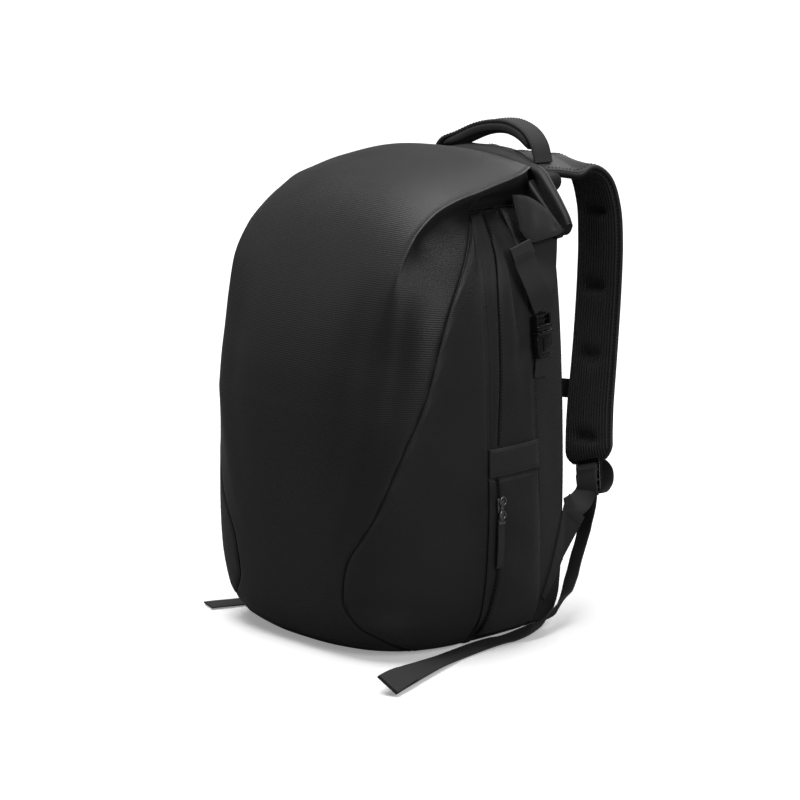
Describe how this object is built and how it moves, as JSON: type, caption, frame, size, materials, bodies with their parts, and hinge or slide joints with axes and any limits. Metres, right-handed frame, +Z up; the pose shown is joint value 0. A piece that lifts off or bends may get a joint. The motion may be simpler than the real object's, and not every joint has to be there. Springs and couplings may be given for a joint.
{
  "type": "motorcycle helmet backpack",
  "caption": "Tall hard-fronted backpack for a riding helmet, with a domed front, a rolled top, side pockets, a haul handle and padded shoulder straps.",
  "frame": {"origin": "the middle of the flat base, on the surface that the bag stands on", "axes": "+Z up, -Y out of the front, +Y out of the back where the shoulder straps are, +X the bag's left side as it is worn"},
  "size_m": [0.3746, 0.3964, 0.4969],
  "materials": {
    "ribbed_cloth": "coated fine-ribbed cloth, satin, charcoal",
    "dark_cloth": "plain coated cloth, matt, near black",
    "spacer_mesh": "ribbed spacer mesh, matt, near black",
    "webbing": "woven webbing, matt, near black",
    "zip_metal": "satin black",
    "buckle_plastic": "glossy black moulding"
  },
  "bodies": {
    "root": {"back_pad": "spacer_mesh", "back_side_panel_left": "dark_cloth", "back_side_panel_right": "dark_cloth", "back_yoke": "dark_cloth", "base_panel": "dark_cloth", "buckle_loop_left": "webbing", "buckle_loop_right": "webbing", "buckle_plug_left": "buckle_plastic", "buckle_plug_right": "buckle_plastic", "buckle_socket_left": "buckle_plastic", "buckle_socket_right": "buckle_plastic", "chest_buckle": "buckle_plastic", "chest_strap_left": "webbing", "chest_strap_right": "webbing", "ear_fold_left": "ribbed_cloth", "ear_fold_right": "ribbed_cloth", "ear_left": "ribbed_cloth", "ear_right": "ribbed_cloth", "front_panel": "ribbed_cloth", "handle_grip": "spacer_mesh", "haul_handle": "dark_cloth", "ladder_lock_left": "buckle_plastic", "ladder_lock_right": "buckle_plastic", "lower_webbing_left": "webbing", "lower_webbing_right": "webbing", "pocket_hem_left": "ribbed_cloth", "pocket_hem_right": "ribbed_cloth", "roll_strap_left": "webbing", "roll_strap_right": "webbing", "roll_strap_tail_left": "webbing", "roll_strap_tail_right": "webbing", "roll_top": "ribbed_cloth", "shoulder_strap_left": "spacer_mesh", "shoulder_strap_right": "spacer_mesh", "side_gusset_left": "ribbed_cloth", "side_gusset_right": "ribbed_cloth", "side_panel_left": "ribbed_cloth", "side_panel_right": "ribbed_cloth", "side_pocket_left": "ribbed_cloth", "side_pocket_right": "ribbed_cloth", "strap_tail_left": "webbing", "strap_tail_right": "webbing", "wing_tab_left": "dark_cloth", "wing_tab_right": "dark_cloth", "zip_pull_left": "dark_cloth", "zip_pull_right": "dark_cloth", "zip_slider_left": "zip_metal", "zip_slider_right": "zip_metal", "zip_strip_left": "ribbed_cloth", "zip_strip_right": "ribbed_cloth"}
  },
  "joints": []
}
